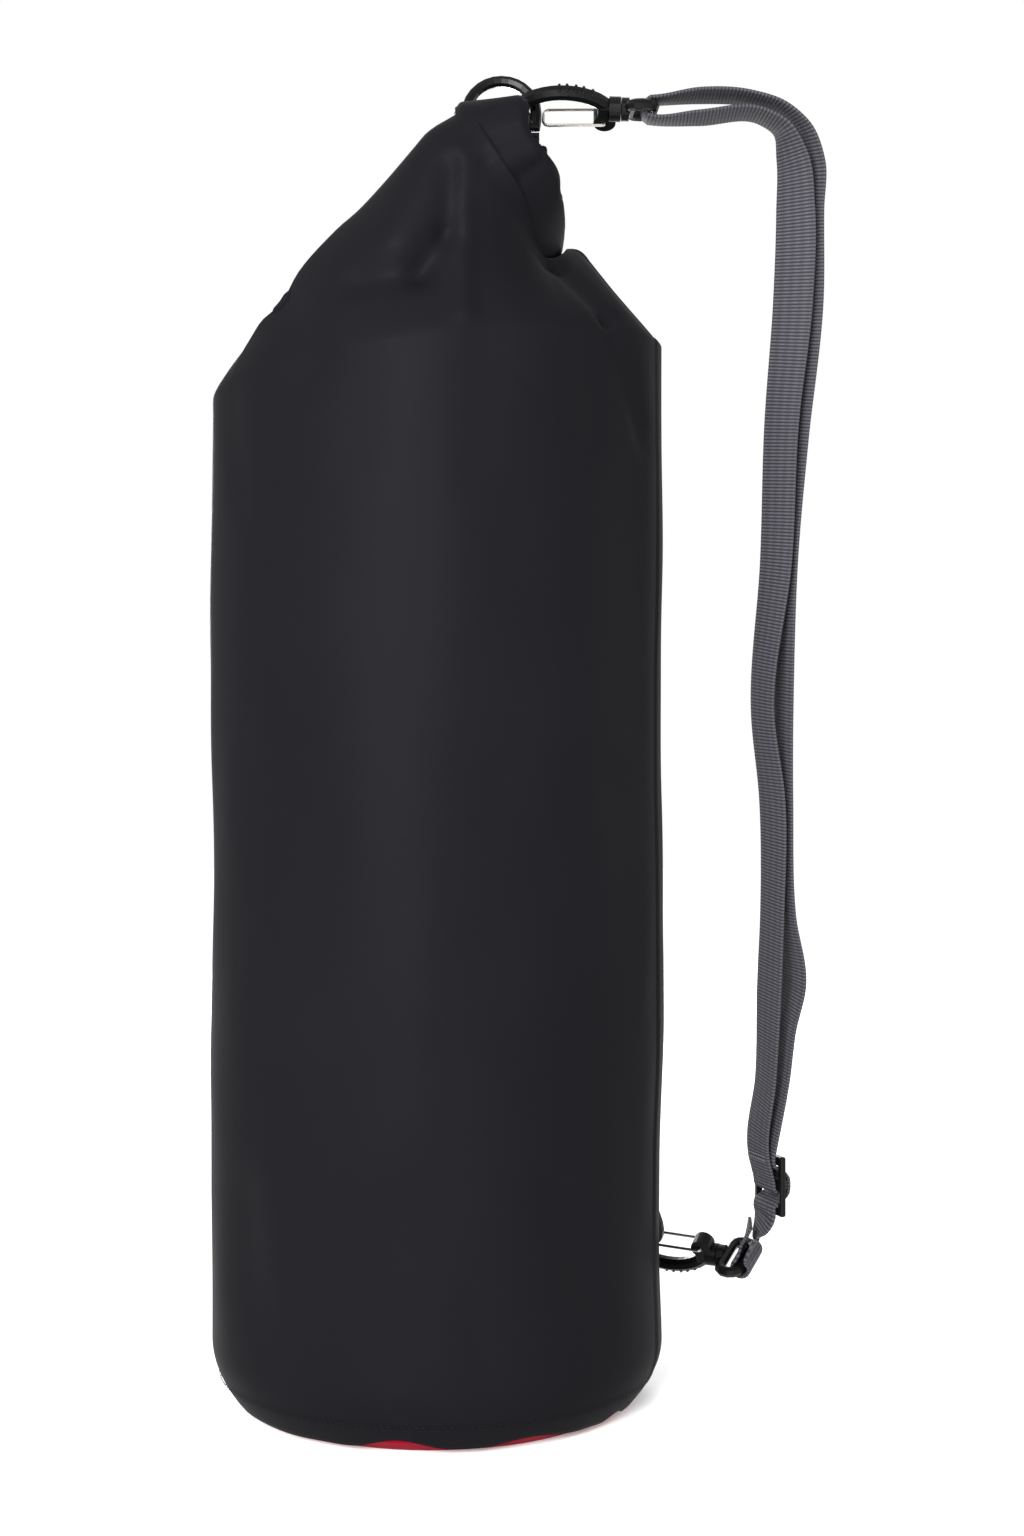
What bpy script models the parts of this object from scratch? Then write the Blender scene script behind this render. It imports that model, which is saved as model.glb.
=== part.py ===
"""Roll-top rope storage bag with a clip-on shoulder strap. Metres, +Z up.

The origin is the centre of the flat base. +X points to the strap side, and the mouth's flattened
line runs along Y. The mouth is rolled, and its two ends stand up and buckle together over the bag.
"""
import bpy
import bmesh
from math import cos, sin, pi, radians
from mathutils import Matrix, Vector

# ---- driving dimensions ------------------------------------------------------------------------
BAG_RADIUS = 0.120
WALL = 0.0012
GAP = 0.0004
HEM_HEIGHT = 0.035
HEM_INSET = 0.016
TUBE_BOTTOM = 0.0045
SHOULDER_HEIGHT = 0.5425
SHOULDER_LEAN = 0.0145
FOLD_ANGLE = radians(150)
SIDES = 60

ROLL_WIDTH = 0.038
ROLL_THICKNESS = 0.012
ROLL_BORE = (0.0225, 0.0042)
STIFFENER = (0.020, 0.0016)

WEB_WIDTH = 0.025
WEB_THICKNESS = 0.0018
TAB_WIDTH = 0.020
RING_ROD = 0.0029
RING_HALF = 0.0179
TOP_RING_SIDE = 0.0084
LOW_RING_SIDE = 0.0060

# the roll's middle line from the middle of the mouth to its near end: x, y, z, and the angle of
# the roll's width above +X; the far half is its mirror image
ROLL_LINE = [
    (0.0600, 0.000, 0.6070, 80),
    (0.0580, -0.035, 0.6080, 74),
    (0.0510, -0.070, 0.6160, 54),
    (0.0385, -0.093, 0.6330, 38),
    (0.0315, -0.092, 0.6540, 18),
    (0.0295, -0.076, 0.6640, 5),
    (0.0300, -0.052, 0.6630, 0),
]

BLACK = (0.020, 0.020, 0.022, 1)
PLASTIC = (0.012, 0.012, 0.013, 1)
GREY = (0.13, 0.125, 0.14, 1)
RED = (0.55, 0.012, 0.02, 1)
STEEL = (0.62, 0.60, 0.57, 1)


# ---- scene and helpers -------------------------------------------------------------------------
def clear_scene():
    for thing in list(bpy.data.objects):
        bpy.data.objects.remove(thing, do_unlink=True)


def collection(name):
    group = bpy.data.collections.new(name)
    bpy.context.scene.collection.children.link(group)
    return group


def material(name, colour, roughness, metallic=0.0):
    made = bpy.data.materials.new(name)
    made.use_nodes = True
    shader = made.node_tree.nodes["Principled BSDF"]
    shader.inputs["Base Color"].default_value = colour
    shader.inputs["Roughness"].default_value = roughness
    shader.inputs["Metallic"].default_value = metallic
    return made


def add(name, mesh, look, group=None):
    """Puts a mesh or curve in the scene as a named object with its own material."""
    thing = bpy.data.objects.new(name, mesh)
    (group or PARTS).objects.link(thing)
    mesh.materials.append(material(name, *look))
    return thing


def smooth(thing, angle=40):
    thing.data.shade_smooth()
    thing.data.set_sharp_from_angle(angle=radians(angle))
    return thing


def loft(name, rings, look, group=None, closed=False, split=False):
    """Joins rings of equally many points with quads, split in two if asked, and caps both ends unless closed."""
    mesh = bpy.data.meshes.new(name)
    shape = bmesh.new()
    rows = [[shape.verts.new(point) for point in ring] for ring in rings]
    pairs = list(zip(rows, rows[1:]))
    if closed:
        pairs.append((rows[-1], rows[0]))
    for low, high in pairs:
        for k in range(len(low)):
            n = (k + 1) % len(low)
            shape.faces.new((low[k], low[n], high[n], high[k]))
    if split:
        bmesh.ops.triangulate(shape, faces=shape.faces)
    if not closed:
        shape.faces.new(rows[0][::-1])
        shape.faces.new(rows[-1])
    bmesh.ops.recalc_face_normals(shape, faces=shape.faces)
    shape.to_mesh(mesh)
    shape.free()
    return add(name, mesh, look, group)


def helper_mesh(name, build, matrix=None):
    """A mesh made by build(bmesh), hidden, to be joined to or cut from a part."""
    mesh = bpy.data.meshes.new(name)
    shape = bmesh.new()
    build(shape)
    shape.to_mesh(mesh)
    shape.free()
    thing = bpy.data.objects.new(name, mesh)
    HELPERS.objects.link(thing)
    thing.hide_render = True
    thing.display_type = "WIRE"
    if matrix is not None:
        thing.matrix_world = matrix
    return thing


def cylinder(radius, depth, axis="X", at=(0, 0, 0), sides=20):
    """A build function for a cylinder with its middle at a point."""
    turn = {"X": Matrix.Rotation(pi / 2, 4, "Y"), "Y": Matrix.Rotation(pi / 2, 4, "X"), "Z": Matrix()}
    place = Matrix.Translation(at) @ turn[axis]

    def build(shape):
        bmesh.ops.create_cone(
            shape, cap_ends=True, segments=sides, radius1=radius, radius2=radius, depth=depth, matrix=place
        )

    return build


def block(size, at=(0, 0, 0), round_edges=0.0):
    """A build function for a box with rounded edges, with its middle at a point."""

    def build(shape):
        place = Matrix.Translation(at) @ Matrix.Diagonal((*size, 1))
        bmesh.ops.create_cube(shape, size=1, matrix=place)
        if round_edges:
            bmesh.ops.bevel(
                shape, geom=shape.edges[:], offset=round_edges, segments=2, affect="EDGES", profile=0.5
            )

    return build


def part_mesh(name, build, look, matrix=None):
    mesh = bpy.data.meshes.new(name)
    shape = bmesh.new()
    build(shape)
    shape.to_mesh(mesh)
    shape.free()
    thing = add(name, mesh, look)
    if matrix is not None:
        thing.matrix_world = matrix
    return thing


def combine(thing, other, operation):
    change = thing.modifiers.new(operation.lower(), "BOOLEAN")
    change.operation = operation
    change.solver = "EXACT"
    change.object = other


def rod(name, points, radius, look, cyclic=False, radii=None, resolution=2):
    """A round rod along points, as a welded mesh."""
    curve = bpy.data.curves.new(name, "CURVE")
    curve.dimensions = "3D"
    curve.bevel_depth = radius
    curve.bevel_resolution = resolution
    curve.use_fill_caps = not cyclic
    line = curve.splines.new("POLY")
    line.points.add(len(points) - 1)
    for n, point in enumerate(points):
        line.points[n].co = (*point, 1)
        line.points[n].radius = radii[n] if radii else 1
    line.use_cyclic_u = cyclic
    guide = bpy.data.objects.new(name + "_line", curve)
    HELPERS.objects.link(guide)
    bpy.context.view_layer.update()
    seen = guide.evaluated_get(bpy.context.evaluated_depsgraph_get())
    mesh = bpy.data.meshes.new_from_object(seen)
    mesh.name = name
    shape = bmesh.new()
    shape.from_mesh(mesh)
    bmesh.ops.remove_doubles(shape, verts=shape.verts, dist=1e-6)
    shape.to_mesh(mesh)
    shape.free()
    bpy.data.objects.remove(guide, do_unlink=True)
    mesh.materials.clear()
    return smooth(add(name, mesh, look))


def smooth_line(points, step):
    """Points about a step apart on one smooth curve through rows of numbers."""
    rows = [Vector(point) for point in points]
    ends = [2 * rows[0] - rows[1], *rows, 2 * rows[-1] - rows[-2]]
    found = []
    for a, b, c, d in zip(ends, ends[1:], ends[2:], ends[3:]):
        length = Vector(c[:3]) - Vector(b[:3])
        parts = max(1, round(length.length / step))
        for n in range(parts):
            t = n / parts
            found.append(
                0.5 * ((2 * b) + (c - a) * t + (2 * a - 5 * b + 4 * c - d) * t**2
                       + (3 * b - a - 3 * c + d) * t**3)
            )
    found.append(rows[-1])
    return found


def rectangle(centre, across, normal, width, thickness):
    """The four corners of a flat section."""
    w, t = across * (width / 2), normal * (thickness / 2)
    return [centre - w - t, centre + w - t, centre + w + t, centre - w + t]


def rounded(centre, across, normal, width, thickness, steps=3):
    """A section with round ends, of 4 * steps + 4 points, the same way round as rectangle."""
    radius = thickness / 2
    found = []
    for side, begin in ((1, -pi / 2), (-1, pi / 2)):
        for n in range(2 * steps + 2):
            angle = begin + pi * n / (2 * steps + 1)
            a = side * (width / 2 - radius) + radius * cos(angle)
            found.append(centre + across * a + normal * (radius * sin(angle)))
    return found


# ---- the rolled mouth --------------------------------------------------------------------------
def roll_stations(step=0.0075):
    """The roll from its near end to its far end: (middle, across, normal, share from -1 to 1)."""
    half = smooth_line(ROLL_LINE, step)
    near = [(Vector(p[:3]), radians(p[3])) for p in half[::-1]]
    far = [(Vector((p.x, -p.y, p.z)), angle) for p, angle in near[-2::-1]]
    line = near + far
    lengths = [0.0]
    for a, b in zip(line, line[1:]):
        lengths.append(lengths[-1] + (b[0] - a[0]).length)
    found = []
    for n, (middle, angle) in enumerate(line):
        before, after = line[max(n - 1, 0)][0], line[min(n + 1, len(line) - 1)][0]
        along = (after - before).normalized()
        across = Vector((cos(angle), 0, sin(angle)))
        across = (across - along * across.dot(along)).normalized()
        found.append((middle, across, along.cross(across), 2 * lengths[n] / lengths[-1] - 1))
    return found


def at_share(stations, share):
    """The roll's middle, across and normal at a share from -1, the near end, to 1."""
    for a, b in zip(stations, stations[1:]):
        if share <= b[3] + 1e-9:
            t = (share - a[3]) / (b[3] - a[3])
            return [p.lerp(q, t) for p, q in zip(a[:3], b[:3])]
    return list(stations[-1][:3])


def make_roll(stations):
    """The rolled mouth is a band bent round into a loop, with a flat bore for its stiffener."""
    outer, inner = [], []
    for middle, across, normal, _ in stations:
        outer.append(rounded(middle, across, normal, ROLL_WIDTH, ROLL_THICKNESS))
        inner.append(rounded(middle, across, normal, *ROLL_BORE))
    loft("mouth_roll", outer + inner[::-1], (BLACK, 0.6), closed=True)
    core = [rectangle(m, a, n, *STIFFENER) for m, a, n, _ in stations[1:-1]]
    loft("mouth_stiffener", core, (PLASTIC, 0.5))


# ---- the bag -----------------------------------------------------------------------------------
def hem_radius(height):
    """The bag's outer radius near its base, where the hem turns in."""
    down = max(0.0, 1 - height / HEM_HEIGHT)
    return BAG_RADIUS - HEM_INSET * down**2


# flat panels of the shoulder: a point's x and height on the middle plane, and the slope along x
PANELS = [(0.0068, 0.6776, 0.957), (-0.1210, 0.5285, 1.86), (0.0647, 0.6270, -1.20)]
PANEL_FALL = 0.27
PANEL_SOFT = 0.004


def shoulder_point(angle, v, stations):
    """A point of the shoulder, from the cylinder at v = 0 to the roll's lower edge at v = 1."""
    height = SHOULDER_HEIGHT + SHOULDER_LEAN * cos(angle)
    foot = Vector((BAG_RADIUS * cos(angle), BAG_RADIUS * sin(angle), height))
    if abs(angle) <= FOLD_ANGLE:
        share, side = angle / FOLD_ANGLE, 1
    else:
        turned = angle if angle > 0 else angle + 2 * pi
        share, side = (pi - turned) / (pi - FOLD_ANGLE), -1
    share = max(-0.985, min(0.985, share))
    middle, across, normal = at_share(stations, share)
    inside = sin(pi / 2 * (1 - abs(share))) if side < 0 else 0.0
    facing = max(0.0, cos(angle)) ** 2 if side > 0 else 0.0
    lift = 0.022 * max(0.0, (facing - 0.3) / 0.7)
    edge = middle - across * (ROLL_WIDTH / 2 + GAP - lift)
    edge += normal * (side * 0.0024 + 0.0062 * min(1.0, 3 * facing))
    reach = (edge - foot).length
    start = Vector((0, 0, 1)) * reach * (0.50 - 0.10 * inside - 0.15 * facing)
    finish = across * reach * (0.40 - 0.20 * inside - 0.15 * facing)
    finish += Vector((-0.9, 0, -0.35)) * reach * facing
    a, b = 2 * v**3 - 3 * v**2 + 1, v**3 - 2 * v**2 + v
    c, d = -2 * v**3 + 3 * v**2, v**3 - v**2
    point = foot * a + start * b + edge * c + finish * d
    return drawn_flat(point, max(0.0, min(1.0, 6 * v, 8 * (0.93 - v))))


def drawn_flat(point, share):
    """The empty cloth over the contents is pulled into flat panels, which nothing stands above."""
    limit = min(height + slope * (point.x - x) for x, height, slope in PANELS) + PANEL_FALL * point.y
    over = point.z - limit
    if over > -PANEL_SOFT:
        point.z -= share * (over + PANEL_SOFT) ** 2 / (4 * PANEL_SOFT) if over < PANEL_SOFT else share * over
    return point


def make_tube(stations):
    """The tarpaulin tube: one thin wall from the hem to the roll's lower edge."""
    angles = [2 * pi * n / SIDES - pi for n in range(SIDES)]
    rings = []
    for height in (TUBE_BOTTOM, 0.010, 0.018, HEM_HEIGHT, 0.20, 0.37):
        radius = hem_radius(height)
        rings.append([Vector((radius * cos(a), radius * sin(a), height)) for a in angles])
    for v in (0.0, 0.14, 0.28, 0.42, 0.56, 0.70, 0.82, 0.92, 1.0):
        rings.append([shoulder_point(a, v, stations) for a in angles])
    mesh = bpy.data.meshes.new("bag_tube")
    shape = bmesh.new()
    rows = [[shape.verts.new(point) for point in ring] for ring in rings]
    for low, high in zip(rows, rows[1:]):
        for k in range(SIDES):
            n = (k + 1) % SIDES
            shape.faces.new((low[k], low[n], high[n], high[k]))
    bmesh.ops.recalc_face_normals(shape, faces=shape.faces)
    shape.to_mesh(mesh)
    shape.free()
    tube = smooth(add("bag_tube", mesh, (BLACK, 0.6)))
    wall = tube.modifiers.new("wall", "SOLIDIFY")
    wall.thickness = WALL
    wall.offset = -1


def make_base():
    """The round base is a shallow pan whose wall stands inside the tube's hem."""
    inset = WALL + GAP
    outer = [(0.000, 0.0), (0.090, 0.0), (0.0985, 0.0006)]
    outer += [(hem_radius(z) - inset - 0.0002, z) for z in (0.0065, 0.012, 0.020, 0.034)]
    inner = [(r - 0.0014, z + 0.0006) for r, z in outer[:1:-1]]
    inner += [(0.090, 0.0016), (0.0, 0.0016)]
    mesh = bpy.data.meshes.new("base_panel")
    line = [Vector((r, 0, z)) for r, z in outer + inner]
    mesh.from_pydata(line, [(n, n + 1) for n in range(len(line) - 1)], [])
    base = add("base_panel", mesh, (RED, 0.55))
    turn = base.modifiers.new("turn", "SCREW")
    turn.steps = turn.render_steps = 64
    turn.use_merge_vertices = True
    turn.merge_threshold = 0.0001
    turn.use_normal_calculate = True


# ---- hardware ----------------------------------------------------------------------------------
def frame_at(origin, x_axis, y_hint):
    """A placing whose local X runs along x_axis, and whose local Y is as near y_hint as can be."""
    x = Vector(x_axis).normalized()
    y = Vector(y_hint)
    y = (y - x * x.dot(y)).normalized()
    z = x.cross(y)
    turn = Matrix((x, y, z)).transposed().to_4x4()
    return Matrix.Translation(origin) @ turn


def d_ring(name, place, side):
    """A D-ring with its straight bar on local X through the origin, standing up along local Y."""
    points = [Vector((-RING_HALF, 0, 0)), Vector((RING_HALF, 0, 0)), Vector((RING_HALF, side * 0.5, 0))]
    for n in range(15):
        angle = pi * n / 14
        points.append(Vector((RING_HALF * cos(angle), side + RING_HALF * sin(angle), 0)))
    points.append(Vector((-RING_HALF, side * 0.5, 0)))
    rod(name, [place @ p for p in points], RING_ROD, (PLASTIC, 0.4), cyclic=True)


def ribbon(name, stations, width, thickness, look):
    """A strip of webbing along (middle, across) stations."""
    rings = []
    for n, (middle, across) in enumerate(stations):
        before, after = stations[max(n - 1, 0)][0], stations[min(n + 1, len(stations) - 1)][0]
        along = (after - before).normalized()
        flat = (across - along * across.dot(along)).normalized()
        rings.append(rectangle(middle, flat, along.cross(flat), width, thickness))
    return loft(name, rings, look, split=True)


def ring_tab(name, place, tail, width):
    """A webbing tab looped round a ring's bar: its two legs run along local -Y for a tail's length."""
    radius = RING_ROD + GAP + WEB_THICKNESS / 2
    line = [(-tail, radius), (-tail / 2, radius)]
    line += [(radius * sin(a), radius * cos(a)) for a in [pi * n / 10 for n in range(11)]]
    line += [(-tail / 2, -radius), (-tail, -radius)]
    across = place.to_3x3() @ Vector((1, 0, 0))
    stations = [(place @ Vector((0, y, z)), across) for y, z in line]
    ribbon(name, stations, width, WEB_THICKNESS, (GREY, 0.8))


# local X of a hook runs from its collar to its nose, local Y towards its spine
HOOK_LINE = [
    (0.004, 0.000), (0.008, 0.0025), (0.013, 0.0065), (0.020, 0.0095), (0.028, 0.0108), (0.036, 0.0103),
    (0.0436, 0.0078), (0.0494, 0.0038), (0.0522, -0.0010), (0.0511, -0.0058), (0.0476, -0.0088),
    (0.0428, -0.0092),
]
HOOK_ROD = 0.0040
GATE_PIVOT = (0.0080, -0.0062)
GATE_REACH = 0.0398
GATE_WIRE = 0.0008
GATE_HALF = 0.0052


def hook_body(name, place):
    """The hook's moulded body: spine and nose in one sweep, a boss for the gate and a collar."""
    line = smooth_line([(x, y, 0, 1) for x, y in HOOK_LINE], 0.004)
    radii = [1.0 - 0.22 * max(0.0, (n / len(line) - 0.7) / 0.3) for n in range(len(line))]
    rod(name, [place @ Vector(p[:3]) for p in line], HOOK_ROD, (PLASTIC, 0.4), radii=radii)
    body = bpy.data.objects[name]
    x, y = GATE_PIVOT
    boss = helper_mesh(name + "_boss", cylinder(0.0058, 0.0082, "Z", (x, y, 0), 20), place)
    web = helper_mesh(name + "_web", block((0.009, 0.0115, 0.0078), (0.0075, -0.0015, 0), 0.001), place)
    collar = helper_mesh(name + "_collar", cylinder(0.0064, 0.0060, "X", (0.0030, 0, 0), 20), place)
    for piece in (boss, web, collar):
        combine(body, piece, "UNION")
    neck = helper_mesh(name + "_neck", cylinder(0.0029, 0.0080, "X", (0.0010, 0, 0), 16), place)
    pocket = helper_mesh(name + "_pocket", cylinder(0.0043, 0.0036, "X", (0.0046, 0, 0), 16), place)
    holes = [helper_mesh(name + "_pivot", cylinder(0.0013, 0.02, "Z", (x, y, 0), 12), place)]
    for cutter in (neck, pocket, *holes):
        combine(body, cutter, "DIFFERENCE")


def hook_gate(name, place):
    """The wire gate: one sprung wire whose ends turn into the boss."""
    x, y = GATE_PIVOT
    far, wide = GATE_REACH, GATE_HALF
    side = [(x, y, 0.0012), (x, y, 0.0038), (x + 0.0002, y, wide - 0.0004), (x + 0.0012, y, wide)]
    side += [(0.024, y - 0.0006, wide), (far - 0.0025, y - 0.0012, wide)]
    side += [(far - 0.0008, y - 0.0014, wide - 0.0008), (far, y - 0.0014, wide - 0.0025)]
    points = side + [(px, py, -pz) for px, py, pz in side[::-1]]
    rod(name, [place @ Vector(p) for p in points], GATE_WIRE, (STEEL, 0.3, 1.0))


def swivel_eye(name, place, inner_width=0.0262, length=0.0165):
    """The swivel eye: a stout rounded loop, and a headed stem held in the hook's collar."""
    rod_radius, corner = 0.0030, 0.0055
    half = inner_width / 2 + rod_radius
    start, end = -0.0048, -length
    points = []
    for cx, cz, begin in ((start - corner, half - corner, 0), (end + corner, half - corner, pi / 2),
                          (end + corner, corner - half, pi), (start - corner, corner - half, 1.5 * pi)):
        for n in range(4):
            angle = begin + pi / 2 * n / 3
            points.append((cx + corner * cos(angle), 0, cz + corner * sin(angle)))
    rod(name, [place @ Vector(p) for p in points], rod_radius, (PLASTIC, 0.35), cyclic=True)
    eye = bpy.data.objects[name]
    flange = helper_mesh(name + "_flange", cylinder(0.0060, 0.0040, "X", (-0.0024, 0, 0), 20), place)
    stem = helper_mesh(name + "_stem", cylinder(0.0024, 0.0080, "X", (0.0012, 0, 0), 16), place)
    head = helper_mesh(name + "_head", cylinder(0.0038, 0.0022, "X", (0.0047, 0, 0), 16), place)
    for piece in (flange, stem, head):
        combine(eye, piece, "UNION")


def eye_at(hook, bar):
    """A swivel eye's placing in its hook, turned so that its outer bar runs along a direction."""
    x = hook.to_3x3() @ Vector((1, 0, 0))
    return frame_at(hook.translation, x, Vector(bar).cross(x))


def slider_frame(name, place):
    """A three-bar slider: local X across it, local Z up it, local Y through it."""
    part_mesh(name, block((0.0324, 0.0036, 0.0330), round_edges=0.0012), (PLASTIC, 0.4), place)
    slider = bpy.data.objects[name]
    for side in (1, -1):
        slot = helper_mesh(name + "_slot", block((0.0262, 0.02, 0.0095), (0, 0, side * 0.00675)), place)
        combine(slider, slot, "DIFFERENCE")


# ---- the buckle --------------------------------------------------------------------------------
BUCKLE_WIDTH = 0.0340
BUCKLE_THICK = 0.0100


def buckle_female(place):
    """The near half: a housing open towards +Y with a window in each side, and a webbing bar."""
    shell = block((BUCKLE_WIDTH, 0.0370, BUCKLE_THICK), (0, -0.0120, 0), 0.0020)
    part_mesh("buckle_female", shell, (PLASTIC, 0.35), place)
    housing = bpy.data.objects["buckle_female"]
    cuts = [
        block((0.0270, 0.0250, 0.0062), (0, -0.0040, 0)),
        block((0.0500, 0.0120, 0.0062), (0, -0.0030, 0)),
        block((0.0262, 0.0058, 0.0300), (0, -0.0228, 0)),
    ]
    for n, cut in enumerate(cuts):
        combine(housing, helper_mesh("buckle_female_cut_%d" % n, cut, place), "DIFFERENCE")


def buckle_male(place):
    """The far half: a plate with a webbing slot and a guide tongue."""
    plate = block((BUCKLE_WIDTH, 0.0200, 0.0088), (0, 0.0195, 0), 0.0020)
    part_mesh("buckle_male", plate, (PLASTIC, 0.35), place)
    male = bpy.data.objects["buckle_male"]
    tongue = helper_mesh("buckle_male_tongue", block((0.0050, 0.0220, 0.0036), (0, 0.0010, 0)), place)
    combine(male, tongue, "UNION")
    slot = helper_mesh("buckle_male_slot", block((0.0262, 0.0058, 0.0300), (0, 0.0228, 0)), place)
    combine(male, slot, "DIFFERENCE")


def buckle_prong(name, place, side):
    """A sprung prong of the male half, whose shoulder is pressed in through the side window."""
    arm = block((0.0034, 0.0150, 0.0050), (side * 0.0100, 0.0010, 0), 0.0006)
    part_mesh(name, arm, (PLASTIC, 0.35), place)
    pad = helper_mesh(name + "_pad", block((0.0052, 0.0090, 0.0050), (side * 0.0132, -0.0030, 0)), place)
    combine(bpy.data.objects[name], pad, "UNION")


def buckle_web(name, place, side, bar_end, bar_half):
    """A webbing loop from one end of the roll, through a slot of the buckle and round its bar."""
    over = bar_half + GAP + WEB_THICKNESS / 2
    slot = 0.0243
    line = [(0.0515, 0.0040), (0.0400, 0.0034), (bar_end + 0.0040, over - 0.0022), (bar_end + 0.0008, over)]
    line += [(bar_end - 0.0020, over + 0.0004), (slot + 0.0009, over), (slot, over - 0.0020)]
    line += [(slot, 0.0020 - over), (slot + 0.0009, -over), (bar_end - 0.0020, -over - 0.0004)]
    line += [(bar_end + 0.0008, -over), (bar_end + 0.0045, 0.0035 - over), (0.0390, 0.0006), (0.0515, 0.0016)]
    across = place.to_3x3() @ Vector((1, 0, 0))
    stations = [(place @ Vector((0, side * y, z)), across) for y, z in line]
    ribbon(name, stations, WEB_WIDTH, WEB_THICKNESS, (GREY, 0.8))


# ---- patches on the bag ------------------------------------------------------------------------
def wrapped_strip(name, angle, width, bottom, top, lift, thickness, look):
    """A strip of material lying round the tube at an angle, from one height to another."""
    steps = 9
    half = width / 2 / BAG_RADIUS
    rings = []
    for height in (bottom, top):
        outer, inner = [], []
        for n in range(steps):
            turn = angle - half + 2 * half * n / (steps - 1)
            for radius, side in ((BAG_RADIUS + lift, inner), (BAG_RADIUS + lift + thickness, outer)):
                side.append(Vector((radius * cos(turn), radius * sin(turn), height)))
        rings.append(inner + outer[::-1])
    return loft(name, rings, look)


# ---- the shoulder strap ------------------------------------------------------------------------
def around(centre, out, up, radius, angles):
    return [centre + out * (radius * cos(radians(a))) + up * (radius * sin(radians(a))) for a in angles]


def strap_stations():
    """(middle, across) from the end sewn to the slider, up and round the top eye, to the lower eye."""
    wrap = 0.0037 + GAP + WEB_THICKNESS / 2
    found = []
    n, d, s = SLIDER_NORMAL, SLIDER_ACROSS, SLIDER.translation

    def slider_points(pairs):
        return [(s + n * q + Vector((0, 0, z)), d) for q, z in pairs]

    found += slider_points([(0.0032, 0.0030), (0.0032, -0.0016), (0.0026, -0.0029), (0.0014, -0.0035),
                            (-0.0014, -0.0035), (-0.0026, -0.0029), (-0.0032, -0.0016), (-0.0035, 0.0010),
                            (-0.0050, 0.0070), (-0.0066, 0.0130), (-0.0072, 0.0170)])
    for x, y, z, beta in FRONT_RUN:
        found.append((Vector((x, y, z)), Vector((cos(radians(beta)), -sin(radians(beta)), 0))))
    bar = (TOP_EYE.to_3x3() @ Vector((0, 0, 1))).normalized()
    out = -(TOP_EYE.to_3x3() @ Vector((1, 0, 0)))
    bar = bar if bar.y < 0 else -bar
    up = out.cross(bar)
    up = up if up.z > 0 else -up
    centre = TOP_EYE @ Vector((-0.0165, 0, 0))
    found += [(p, bar) for p in around(centre, out, up, wrap, (-80, -110, -145, -180, -215, -250, -280))]
    for x, y, z, beta in BACK_RUN:
        found.append((Vector((x, y, z)), Vector((cos(radians(beta)), -sin(radians(beta)), 0))))
    found += slider_points([(-0.0034, 0.0165), (-0.0034, 0.0120), (-0.0028, 0.0106), (-0.0012, 0.0098),
                            (0.0010, 0.0086), (0.0035, 0.0066), (0.0053, 0.0042), (0.0057, 0.0020),
                            (0.0057, -0.0012), (0.0052, -0.0040), (0.0036, -0.0062), (0.0012, -0.0078),
                            (-0.0012, -0.0092), (-0.0028, -0.0104), (-0.0034, -0.0120), (-0.0034, -0.0165)])
    bar = (LOW_EYE.to_3x3() @ Vector((0, 0, 1))).normalized()
    bar = bar if bar.dot(d) > 0 else -bar
    out = -(LOW_EYE.to_3x3() @ Vector((1, 0, 0)))
    up = out.cross(bar)
    up = up if up.z > 0 else -up
    centre = LOW_EYE @ Vector((-0.0165, 0, 0))
    last = found[-1][0]
    loop = [(p, bar) for p in around(centre, out, up, wrap, (50, 15, -25, -65, -105, -145, -180, -215, -235))]
    straight = last - loop[0][0]
    straight = (straight - bar * bar.dot(straight)).normalized()
    found.append((last.lerp(loop[0][0], 0.5), (d + bar).normalized()))
    found.append((loop[0][0] + straight * 0.005, bar))
    found += loop
    rise = (last - loop[0][0]).normalized()
    end = loop[-1][0]
    found.append((end + rise * 0.008 + (last - end).normalized() * 0.0006, (bar + d * 0.25).normalized()))
    found.append((end + rise * 0.016 + (last - end).normalized() * 0.0010, (bar + d * 0.6).normalized()))
    return found


def smooth_run(stations, step):
    """Stations about a step apart on one curve that doesn't swing out where their spacing changes."""
    rows = [Vector((*middle, *across)) for middle, across in stations]
    gaps = [(Vector(b[:3]) - Vector(a[:3])).length for a, b in zip(rows, rows[1:])]
    rates = [(b - a) / gap for a, b, gap in zip(rows, rows[1:], gaps)]
    slopes = [rates[0]]
    for n in range(1, len(rates)):
        slopes.append((rates[n - 1] * gaps[n] + rates[n] * gaps[n - 1]) / (gaps[n - 1] + gaps[n]))
    slopes.append(rates[-1])
    line = []
    for n, gap in enumerate(gaps):
        parts = max(1, round(gap / step))
        for k in range(parts):
            t = k / parts
            line.append(rows[n] * (2 * t**3 - 3 * t**2 + 1) + slopes[n] * gap * (t**3 - 2 * t**2 + t)
                        + rows[n + 1] * (3 * t**2 - 2 * t**3) + slopes[n + 1] * gap * (t**3 - t**2))
    line.append(rows[-1])
    return [(Vector(row[:3]), Vector(row[3:])) for row in line]


def make_strap():
    stations = smooth_run(strap_stations(), 0.010)
    ribbon("strap_webbing", stations, WEB_WIDTH, WEB_THICKNESS, (GREY, 0.8))


clear_scene()
PARTS = collection("rope_storage_bag")
HELPERS = collection("helpers")
STATIONS = roll_stations()
make_roll(STATIONS)
make_tube(STATIONS)
make_base()

# top ring: its bar runs along X in front of the roll's near end, and it stands almost upright
TOP_RING = frame_at((0.0345, -0.0400, 0.6665), (1, 0, 0), (0, 0.221, 0.975))
d_ring("top_d_ring", TOP_RING, TOP_RING_SIDE)
ring_tab("top_ring_tab", frame_at(TOP_RING.translation, (1, 0, 0), (0, 1, 0)), 0.0112, TAB_WIDTH)

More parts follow.
